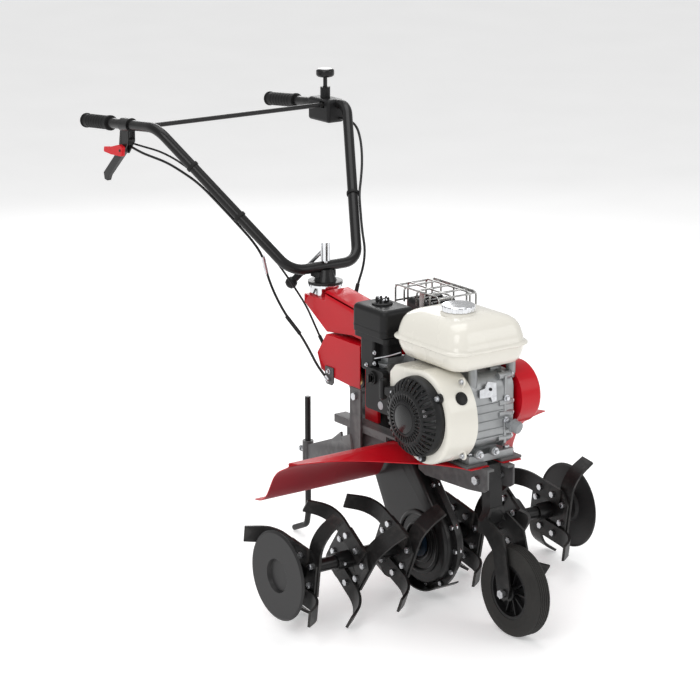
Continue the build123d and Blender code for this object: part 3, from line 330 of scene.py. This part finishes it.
def add_bolt(bm, centre, direction, size):
    """Hexagon head on a washer, with the end of the shank above it.  size is the head's radius."""
    washer = 1.3
    part = bmesh.new()
    skin(part, circles([(size * 1.35, 0), (size * 1.35, washer)], 24))
    head = [(size * 0.98, washer), (size, washer + 0.4), (size, washer + size * 0.75),
            (size * 0.86, washer + size)]
    skin(part, circles(head, 6))
    skin(part, circles([(size * 0.5, 0), (size * 0.5, washer + size * 1.12)], 20))
    part.transform(aim(centre, direction))
    merge(bm, part)


def turned(name, profile, centre, direction, look, body, angle=SHARP):
    """A round piece from (radius, height) pairs."""
    bm = bmesh.new()
    add_turned(bm, profile, centre, direction, 64)
    piece(name, mesh_of(bm, name), look, body, angle=angle)


def bolts(name, places, direction, size):
    """Zinc-plated bolts on the chassis, all pointing one way."""
    bm = bmesh.new()
    for place in places:
        add_bolt(bm, place, direction, size)
    piece(name, mesh_of(bm, name), "zinc", "chassis")


def prism(name, outline, low, high, axis, look, edge):
    """A flat outline on the chassis with thickness along X or Y; the outline is in (y, z) or (x, z)."""
    order = {"X": (2, 0, 1), "Y": (0, 2, 1)}[axis]
    bm = bmesh.new()
    skin(bm, [[Vector([(*point, height)[k] for k in order]) * MM for point in outline]
              for height in (low, high)])
    soften(piece(name, mesh_of(bm, name), look, "chassis"), edge)


def tube_mesh(name, points, radius):
    """Round tube along a smooth curve through the neighbourhood of the points."""
    data = bpy.data.curves.new(name, "CURVE")
    data.dimensions = "3D"
    data.resolution_u = 6
    data.bevel_depth = radius * MM
    data.bevel_resolution = 3
    data.use_fill_caps = True
    line = data.splines.new("NURBS")
    line.points.add(len(points) - 1)
    for spot, point in zip(line.points, points):
        spot.co = (*(Vector(point) * MM), 1)
    line.order_u = 3
    line.use_endpoint_u = True
    held = bpy.data.objects.new(name + "_line", data)
    mesh = bpy.data.meshes.new_from_object(held)
    mesh.name = name
    bpy.data.objects.remove(held)
    return mesh


def repaint(made, look, wanted):
    """Give a second material to the faces whose centre and normal pass a test, in millimetres."""
    made.data.materials.append(LOOKS[look])
    for face in made.data.polygons:
        if wanted(face.center / MM, face.normal):
            face.material_index = len(made.data.materials) - 1


# ------------------------------------------------------------------ CAD nodes that keep their shape
# node: its look and the width of its rounded edges in millimetres
REFINED = {
    "chain_case_right": ("black", 0.8), "chain_case_left": ("black", 0.8), "bearings": ("bronze", 0),
    "chain": ("steel", 0), "tine_axle": ("steel", 0.5), "input_shaft": ("steel", 0.5),
    "driven_pulley": ("zinc", 0.4), "tine_blades": ("blade", 1.1), "tine_tubes": ("black", 0.7),
    "tine_bolts": ("zinc", 0.5), "side_discs": ("disc", 0.6), "deck": ("red", 0.6),
    "outer_fenders": ("red", 0.6), "bed": ("grey", 0.7), "wheel_arm": ("black", 0.8),
    "wheel_axle": ("zinc", 0.6), "wheel_tyre": ("tyre", 0.6), "wheel_hub": ("plastic", 0.6),
    "spur_bracket": ("grey", 0.8), "depth_spur": ("black", 0.5), "engine_block": ("cast", 0.8),
    "crankshaft": ("steel", 0.4), "flywheel": ("cast", 0.4), "drive_belt": ("rubber", 0.4),
    "fan_shroud": ("cream", 1.2), "starter_grip": ("plastic", 0.6), "fuel_cap": ("chrome", 0.6),
    "filter_cover": ("plastic", 0.8), "filter_base": ("plastic", 0.8), "wing_nut": ("zinc", 0.4),
    "carburettor": ("cast", 0.6), "choke_lever": ("plastic", 0.4), "throttle_lever": ("zinc", 0.3),
    "control_panel": ("plastic", 0.8), "engine_switch": ("gloss", 0.5), "muffler": ("black", 0.8),
    "muffler_guard": ("wire", 0), "belt_cover": ("red", 0.8), "idler_arm": ("zinc", 0.4),
    "gear_cover": ("red", 0.8), "handle_column": ("red", 0.8), "clamp_ring": ("chrome", 0.5),
    "handle_mount": ("black", 0.6), "handlebar": ("black", 0), "grips": ("rubber", 0.6),
    "brace_rod": ("black", 0.5), "clamp_head": ("chrome", 0.5), "clamp_lever": ("plastic", 0.5),
    "clutch_bracket": ("black", 0.6), "clutch_lever": ("gloss", 1.2),
    "safety_catch": ("red_plastic", 0.9), "reverse_box": ("plastic", 0.8),
    "reverse_knob": ("gloss", 0.8), "frame_bolts": ("zinc", 0.5),
}


def second_looks(shapes):
    """Painted shade as a darker, duller red on the undersides of the painted sheets, and the bare stem
    of the clamp lever.
    """
    for node in ("deck", "outer_fenders"):
        repaint(shapes[node], "red_painted_shade", lambda centre, normal: normal.z < -0.3)
    lever_end, grip_length = Vector((-154, -54, 630)), 44
    repaint(shapes["clamp_lever"], "chrome",
            lambda centre, normal: (centre - lever_end).length > grip_length)


def lever_knob():
    """Round end on the clamp lever's grip."""
    bm = bmesh.new()
    profile = [(6, 0), (11, 3), (13.5, 9), (13.5, 15), (11, 21), (6, 24)]
    add_turned(bm, profile, (-149, -49, 637), (-0.496, -0.478, -0.725), 32)
    piece("lever_knob", mesh_of(bm, "lever_knob"), "plastic", "clamp_handle",
          angle=ROUND)


# ------------------------------------------------------------------ fuel tank
def rounded(half_x, half_y, radius, height, steps=14):
    """Points round a rectangle with round corners, centred on the origin."""
    points = []
    for quarter, (side_x, side_y) in enumerate(((1, 1), (-1, 1), (-1, -1), (1, -1))):
        for i in range(steps + 1):
            turn = pi / 2 * (quarter + i / steps)
            x = side_x * (half_x - radius) + radius * cos(turn)
            y = side_y * (half_y - radius) + radius * sin(turn)
            points.append(Vector((x, y, height)))
    return points


def fuel_tank():
    """Pressed tank: sloping sides, crowned top, rolled seam and a lower half that rises at the back,
    beside the cylinder."""
    middle = Vector((421.5, -15.5, 0))
    bottom, seam, lift = 571, 612, 22
    rise_start, rise_length = 352, 46
    # half length, half width, corner radius and height of each level
    levels = [(76, 64, 24, bottom), (90, 78, 27, 572), (101, 88, 30, 577), (107, 94, 33, 586),
              (110.5, 97.5, 35, 598), (112.5, 99.5, 36, seam), (118.5, 105.5, 41, 613.4),
              (120.5, 107.5, 43, 615.2), (120.5, 107.5, 43, 617.4), (118.5, 105.5, 41, 619.2),
              (114, 101, 37, 620), (112.5, 99.5, 36, 622), (110.5, 97.5, 35, 634),
              (107, 94, 34, 647), (103.5, 90.5, 33, 656), (98, 85, 32, 664), (89, 76, 30, 670.5),
              (77, 64, 28, 675), (60, 48, 26, 678.5), (40, 32, 20, 680.5)]
    loops = []
    for half_x, half_y, radius, height in levels:
        loop = []
        for point in rounded(half_x, half_y, radius, height):
            place = middle + point
            if height < seam:
                rise = max(0.0, min(1.0, (rise_start - place.x) / rise_length))
                place.z += lift * rise * (seam - height) / (seam - bottom)
            loop.append(place * MM)
        loops.append(loop)
    bm = bmesh.new()
    skin(bm, loops)
    piece("fuel_tank_shell", mesh_of(bm, "fuel_tank_shell"), "cream", "chassis",
          "fuel_tank", ROUND)
    neck = [(39, 0), (37, 4.5), (33, 6.5), (28, 7), (27, 4)]
    turned("filler_neck", neck, (436, -34, 677), UP, "cream", "chassis", ROUND)


# ------------------------------------------------------------------ recoil starter
def recoil_cover():
    """Domed moulding: two rings of radial slots round a plain raised hub."""
    profile = [(86, 139.5), (86, 150), (84.5, 158), (83, 162), (75, 171), (60, 178), (55, 180),
               (51, 180.6), (38, 182.2), (36.5, 184), (35, 185), (33, 185), (32, 183.6), (1, 183.6)]
    slotted = (3, 4, 7)                 # the profile steps that the slots cut through
    count = 72                          # columns of faces; every second one has slots
    bm = bmesh.new()
    columns = []
    for i in range(count):
        turn = 2 * pi * i / count
        columns.append([bm.verts.new(Vector((CRANK.x + r * cos(turn), -y, CRANK.z + r * sin(turn))) * MM)
                        for r, y in profile])
    for i in range(count):
        here, there = columns[i], columns[(i + 1) % count]
        for k in range(len(profile) - 1):
            if i % 2 and k in slotted:
                continue
            bm.faces.new((here[k], there[k], there[k + 1], here[k + 1]))
    bm.faces.new([column[-1] for column in columns])
    made = piece("recoil_cover_shell", mesh_of(bm, "recoil_cover_shell"), "plastic", "chassis",
                 "recoil_cover", 40)
    wall = made.modifiers.new("wall", "SOLIDIFY")
    wall.thickness = 3 * MM
    wall.offset = -1


def recoil_trim():
    """Gloss disc on the hub, three bolted lugs and the spout that the rope leaves by."""
    turned("recoil_hub", [(31, 0), (31, 0.9), (30, 1.4), (1, 1.4)], (CRANK.x, -183.4, CRANK.z), RIGHT,
           "gloss", "chassis", ROUND)
    lug_ring = 89
    for i, turn in enumerate((radians(38), radians(158), radians(278))):
        x = CRANK.x + lug_ring * cos(turn)
        z = CRANK.z + lug_ring * sin(turn)
        turned("recoil_lug_%d" % i, [(10, 0), (10, 7), (9, 8), (5.5, 8)], (x, -141, z), RIGHT,
               "plastic", "chassis", 50)
        bolts("recoil_bolt_%d" % i, [(x, -149, z)], RIGHT, 5)
    spout = [(338, 496), (356, 494), (376, 488), (376, 524), (352, 516), (338, 513)]
    prism("recoil_spout", spout, -155, -140.2, "Y", "plastic", 2.5)


# ------------------------------------------------------------------ engine trim
def tank_posts():
    """Two cast posts under the front of the fuel tank."""
    for i, (x, y, low, high) in enumerate(((507, -50, 528, 575), (498, 60, 538, 577))):
        post = [(10, 0), (10, high - low - 4), (8, high - low)]
        turned("tank_post_%d" % i, post, (x, y, low), UP, "cast", "chassis", 50)


def case_ribs():
    """Ribs, bolt bosses and feet cast on the crankcase, as one piece."""
    bm = bmesh.new()
    for height in (420, 437, 456, 475, 493):
        rib = [(517, height - 2), (521.5, height - 1), (521.5, height + 1), (517, height + 2)]
        part = bmesh.new()
        skin(part, [[Vector((x, y, z)) * MM for x, z in rib] for y in (-57, 24)])
        merge(bm, part)
    bosses = [((511, 14, 548), 34), ((515, 12, 491), 36), ((515, 12, 466), 36), ((514, 12, 414), 34),
              ((480, 14, 557), 30)]
    for place, length in bosses:
        add_turned(bm, [(8, 0), (8, length - 2), (7, length)], place, LEFT, 24)
    for y in (-40, 2):
        add_turned(bm, [(10, 0), (10, 8), (8, 10)], (514, y, 388), FORWARDS, 24)
    soften(piece("case_ribs", mesh_of(bm, "case_ribs"), "cast", "chassis"), 0.5)


def case_covers():
    """Oval side cover, the flange behind it, and the bolts of the crankcase."""
    middle_x, middle_z, half_x, half_z, steps = 443, 474, 72, 78, 40
    turns = [2 * pi * i / steps for i in range(steps)]
    cover = [(middle_x + half_x * cos(turn), middle_z + half_z * sin(turn)) for turn in turns]
    prism("side_cover", cover, 50, 57, "Y", "cast", 2)
    flange = [(365, 400), (372, 392), (512, 392), (521, 402), (521, 548), (510, 558), (376, 558),
              (365, 548)]
    prism("case_flange", flange, 26, 33, "Y", "cast", 1.5)
    bolts("case_bolts", [(511, 49, 548), (515, 49, 491), (515, 49, 466), (514, 47, 414)], LEFT, 5)
    bolts("front_bolts", [(524, -40, 388), (524, 2, 388), (521, 31, 500), (521, 31, 452)], FORWARDS,
          5.5)


def carburettor_trim():
    """Intake moulding, float bowl, screws and the governor's rod."""
    intake = [(190, 512), (232, 512), (236, 540), (236, 588), (186, 588), (186, 540)]
    prism("intake_body", intake, -108, -66, "Y", "plastic", 6)
    bowl = [(13, 0), (16, 3), (16, 20), (18, 21), (18, 24), (14, 25)]
    turned("float_bowl", bowl, (250, -84, 512), UP, "cast", "chassis", 40)
    bolts("carburettor_screws", [(244, -110, 560), (244, -110, 536), (212, -108.5, 526)], RIGHT, 3.4)
    rod = [(246, -112, 548), (270, -114, 556), (300, -108, 566), (318, -96, 575)]
    piece("governor_rod", tube_mesh("governor_rod", rod, 1.6), "zinc", "chassis", angle=ROUND)


def front_trim():
    """Bolts of the belt cover, the cable bracket on the front of the case, and the oil filler."""
    bolts("belt_cover_bolts", [(506, 120, 492), (270, 120, 474), (28, 120, 452)], LEFT, 5)
    bracket = [(-44, 530), (-30, 532), (-24, 546), (0, 540), (2, 500), (-10, 498), (-14, 510),
               (-44, 512)]
    prism("cable_bracket", bracket, 522, 525, "X", "zinc", 0.6)
    turned("bracket_pin", [(3.4, 0), (3.4, 2), (2.6, 2.6)], (525, -16, 528), FORWARDS, "plastic",
           "chassis")
    filler = [(11, 0), (11, 24), (15, 25), (15, 28), (13.5, 29), (13.5, 40), (12, 43), (4, 43)]
    turned("oil_filler", filler, (505, 36, 446), (0.92, 0.30, -0.25), "grey_plastic", "chassis",
           40)


def shroud_trim():
    """Plug in the fan shroud, and lugs that reach out from the crankshaft, with their bolts."""
    turned("shroud_plug", [(14.5, 0), (14.5, 1.6), (12.5, 2.8), (1, 3.2)], (528.4, -96, 522),
           (0.86, 0, 0.51), "plastic", "chassis", 50)
    tip, root, half_root = 9, 26, 13    # tip radius, length back to the root and half the root's width
    turns = [pi * (i / 12 - 0.5) for i in range(13)]
    for i, (x, z) in enumerate(((514, 553), (520, 393))):
        middle = Vector((x, z))
        out = Vector((x - CRANK.x, z - CRANK.z)).normalized()
        side = Vector((-out.y, out.x))
        lug = [middle + out * (tip * cos(turn)) + side * (tip * sin(turn)) for turn in turns]
        lug += [middle - out * root + side * half_root, middle - out * root - side * half_root]
        prism("shroud_lug_%d" % i, lug, -84, -80, "Y", "cream", 1)
        bolts("shroud_bolt_%d" % i, [(x, -84, z)], RIGHT, 5)


def panel_spot():
    """Pale round spot on the control panel."""
    turned("panel_spot", [(9, 0), (9, 0.5), (8.6, 0.7), (1, 0.7)], (281, -122, 452), RIGHT, "spot",
           "chassis")


def filter_trim():
    """Seat and finger lobes of the nut on the air filter, and the seam round its housing."""
    x, y = 215, -70
    turned("filter_seat", [(23, 0), (23, 3), (20, 5), (9, 6)], (x, y, 656.6), UP, "plastic",
           "chassis", 50)
    count, ring, lean = 7, 11, 0.25
    bm = bmesh.new()
    for i in range(count):
        turn = 2 * pi * i / count
        add_turned(bm, [(3.4, 0), (3.0, 9), (1.6, 12)],
                   (x + ring * cos(turn), y + ring * sin(turn), 660),
                   (lean * cos(turn), lean * sin(turn), 1), 12)
    piece("wing_nut_lobes", mesh_of(bm, "wing_nut_lobes"), "plastic", "filter_nut")
    housing = Vector((220, -70, 0))
    seam = [rounded(60.6, 44.6, 16, height, 6) for height in (607.2, 608, 609.4, 610.2)]
    bm = bmesh.new()
    skin(bm, [[(housing + point) * MM for point in loop] for loop in seam])
    piece("filter_seam", mesh_of(bm, "filter_seam"), "plastic", "chassis")


# ------------------------------------------------------------------ chain case and wheel
def ring_rim(radius, width):
    """Profile across a pressed ring, from its inner edge to its outer edge."""
    slope, shoulder, crown = 2.5, 1.2, 1.7
    return [(radius - width, 0), (radius - width + slope, shoulder), (radius - width / 2, crown),
            (radius - slope, shoulder), (radius, 0)]


def case_rings():
    """Rings pressed into the chain case round the tine axle and the input shaft, and axle seals."""
    # name, place in X and Z, and the outer radius and width of each ring there
    groups = (("axle", AXLE.x, AXLE.z, ((72, 10), (46, 8))),
              ("shaft", SHAFT.x, SHAFT.z, ((36, 5),)))
    for hand, side in SIDES:
        for group, x, z, rings in groups:
            bm = bmesh.new()
            for radius, width in rings:
                part = bmesh.new()
                skin(part, circles(ring_rim(radius, width), 72), (False, False))
                part.transform(aim((x, side * 29.6, z), (0, side, 0)))
                merge(bm, part)
            name = "case_rings_%s_%s" % (group, hand)
            piece(name, mesh_of(bm, name), "black", "chassis", angle=ROUND)
        turned("axle_seal_" + hand, [(33, 0), (33, 1.6), (30, 2.2), (21, 2.2)],
               (AXLE.x, side * 29.8, AXLE.z), (0, side, 0), "seal", "chassis", 50)


def hub_caps():
    """Cap on each end of the front wheel's hub."""
    for hand, side in SIDES:
        turned("wheel_cap_" + hand, [(19, 0), (19, 2), (15, 4), (9, 4.5)],
               (WHEEL.x, side * 18, WHEEL.z), (0, side, 0), "plastic", "front_wheel",
               40)


# ------------------------------------------------------------------ cables and rope
# node: sleeve radius, the indices of two of its points (the ferrule starts at the last one), and all its
# points
CABLES = {
    "clutch_cable": (3.0, 7, 12, [
        (-497, -264, 912), (-462, -262, 905), (-420, -255, 900), (-378, -246, 894),
        (-338, -234, 880), (-294, -212, 855), (-251, -186, 811), (-209, -160, 765),
        (-180, -142, 732), (-170, -122, 696), (-177, -107, 652), (-168, -92, 603),
        (-138, -80, 556), (-99, -70, 522), (-72, -62, 487), (-44, -58, 452), (-8, -58, 434)]),
    "throttle_cable": (2.5, 9, 13, [
        (-497, -257, 919), (-458, -252, 917), (-412, -243, 914), (-362, -231, 902),
        (-314, -211, 876), (-269, -184, 828), (-227, -158, 783), (-184, -131, 738),
        (-148, -108, 696), (-130, -82, 650), (-124, -54, 606), (-134, -26, 570),
        (-139, -6, 534), (-126, 3, 500), (-96, 2, 472), (-50, 0, 462)]),
    "reverse_cable": (3.0, 8, 12, [
        (-414, 266, 937), (-382, 273, 936), (-350, 270, 926), (-318, 257, 906),
        (-289, 241, 880), (-262, 222, 850), (-235, 199, 822), (-203, 171, 798),
        (-168, 150, 762), (-134, 130, 727), (-99, 113, 694), (-77, 92, 660),
        (-72, 73, 624), (-69, 61, 588), (-60, 57, 550), (-38, 58, 506)]),
}


def cables():
    """Control cables that follow the handlebar at one end and the chassis at the other."""
    for node, (radius, first, last, points) in CABLES.items():
        sleeve = tube_mesh(node + "_sleeve", points, radius)
        loose(node + "_sleeve", sleeve, "sleeve",
              node)
        ferrule = tube_mesh(node + "_ferrule", points[last:last + 2], radius + 1.6)
        piece(node + "_ferrule", ferrule, "plastic", "chassis", angle=50)
    first, last, points = CABLES["clutch_cable"][1:]
    adjuster = tube_mesh("clutch_adjuster", points[9:11], 4.6)
    loose("clutch_adjuster", adjuster, "zinc")


def clutch_anchor():
    """Clip on the gear cover that holds the low end of the clutch cable."""
    clip = [(-22, 428), (-16, 421), (4, 421), (10, 428), (10, 462), (-22, 462)]
    prism("clutch_clip", clip, -55.2, -52.1, "Y", "grey", 0.5)
    turned("clutch_barrel", [(3.5, 0), (5, 1), (5, 15), (3.5, 16)], (-16, -58.2, 438),
           (0.9, 0, -0.44), "zinc", "chassis", 50)
    bolts("clutch_clip_bolt", [(-6, -55.2, 452)], RIGHT, 4.5)


def tube_bands():
    """Rubber bands that hold the cables to the handlebar."""
    high = Vector((-385, 266, 974))
    low = Vector((-101, 92, 670))
    along = low - high
    band = [(12.2, -4), (14.2, -4), (14.6, -3), (14.6, 3), (14.2, 4), (12.2, 4)]
    for i, (side, share) in enumerate(((-1, 0.27), (-1, 0.62), (1, 0.58))):
        place = high.lerp(low, share)
        turned("cable_band_%d" % i, band, (place.x, side * place.y, place.z),
               (along.x, side * along.y, along.z), "rubber", "handle_set", 50)


def starter_rope():
    """Cord from the recoil starter to its grip, as long as the CAD rope."""
    low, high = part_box("starter_rope")
    middle = (low + high) / 2
    steps = 12
    points = [Vector((high.x + (low.x - high.x) * i / steps, middle.y, middle.z)) / MM
              for i in range(steps + 1)]
    mesh = tube_mesh("starter_cord", points, (high.z - low.z) / 2 / MM)
    loose("starter_cord", mesh, "rubber",
          "starter_rope")


# ------------------------------------------------------------------ camera, floor and light
def camera():
    """Long lens, from the front right and a little above."""
    data = bpy.data.cameras.new("camera")
    data.lens = 132.7
    data.sensor_width = 36
    data.clip_end = 100
    made = bpy.data.objects.new("camera", data)
    bpy.context.scene.collection.objects.link(made)
    made.location = Vector((4570, -3285, 2034)) * MM
    azimuth, elevation = radians(54.3), radians(15.3)
    back = Vector((sin(azimuth) * cos(elevation), -cos(azimuth) * cos(elevation), sin(elevation)))
    made.rotation_euler = back.to_track_quat("Z", "Y").to_euler()
    bpy.context.scene.camera = made


def floor():
    """Pale floor that gives off a little light of its own, just under the object."""
    half_width, drop, glow = 30, 0.0005, 0.33
    bm = bmesh.new()
    bmesh.ops.create_grid(bm, x_segments=1, y_segments=1, size=half_width)
    made = bpy.data.objects.new("floor", mesh_of(bm, "floor"))
    bpy.context.scene.collection.objects.link(made)
    material, tree, surface = shader("studio_floor", (0.9, 0.9, 0.9), 0.6)
    shades = ramp(tree, noise(tree, 3.0), [(0.3, (0.88,) * 3), (0.7, (0.92,) * 3)])
    tree.links.new(shades, surface.inputs["Base Color"])
    surface.inputs["Emission Color"].default_value = (1, 1, 1, 1)
    surface.inputs["Emission Strength"].default_value = glow
    made.data.materials.append(material)
    made.location = (0, 0, -drop)


def softbox(name, place, target, size, power):
    """Square area light at a place in metres, turned to a target."""
    data = bpy.data.lights.new(name, "AREA")
    data.shape = "SQUARE"
    data.size = size
    data.energy = power
    made = bpy.data.objects.new(name, data)
    made.location = place
    made.rotation_euler = (Vector(target) - Vector(place)).to_track_quat("-Z", "Y").to_euler()
    bpy.context.scene.collection.objects.link(made)


def studio():
    """White surroundings: bright behind the object, softer as a light on it."""
    light_level, seen_level = 0.5, 0.96
    world = bpy.data.worlds.new("studio")
    world.use_nodes = True
    tree = world.node_tree
    rays = tree.nodes.new("ShaderNodeLightPath")
    level = tree.nodes.new("ShaderNodeMapRange")
    level.inputs["To Min"].default_value = light_level
    level.inputs["To Max"].default_value = seen_level
    tree.links.new(rays.outputs["Is Camera Ray"], level.inputs["Value"])
    tree.links.new(level.outputs["Result"], tree.nodes["Background"].inputs["Strength"])
    tree.nodes["Background"].inputs["Color"].default_value = (1, 1, 1, 1)
    bpy.context.scene.world = world
    softbox("key", (2.2, -3.2, 3.4), (0.1, 0, 0.5), 2.4, 62)
    softbox("fill", (3.6, 2.4, 2.2), (0.2, 0, 0.5), 2.2, 26)
    softbox("top", (-0.4, 0.2, 3.6), (0.1, 0, 0.4), 2.6, 46)
    softbox("back", (-3.0, 1.6, 2.0), (0, 0, 0.6), 1.6, 26)
    bpy.context.scene.view_settings.view_transform = "Standard"


second_looks({node: refined(node, look, edge) for node, (look, edge) in REFINED.items()})
lever_knob()
fuel_tank()
recoil_cover()
recoil_trim()
tank_posts()
case_ribs()
case_covers()
carburettor_trim()
front_trim()
shroud_trim()
panel_spot()
filter_trim()
case_rings()
hub_caps()
cables()
clutch_anchor()
tube_bands()
starter_rope()
camera()
floor()
studio()
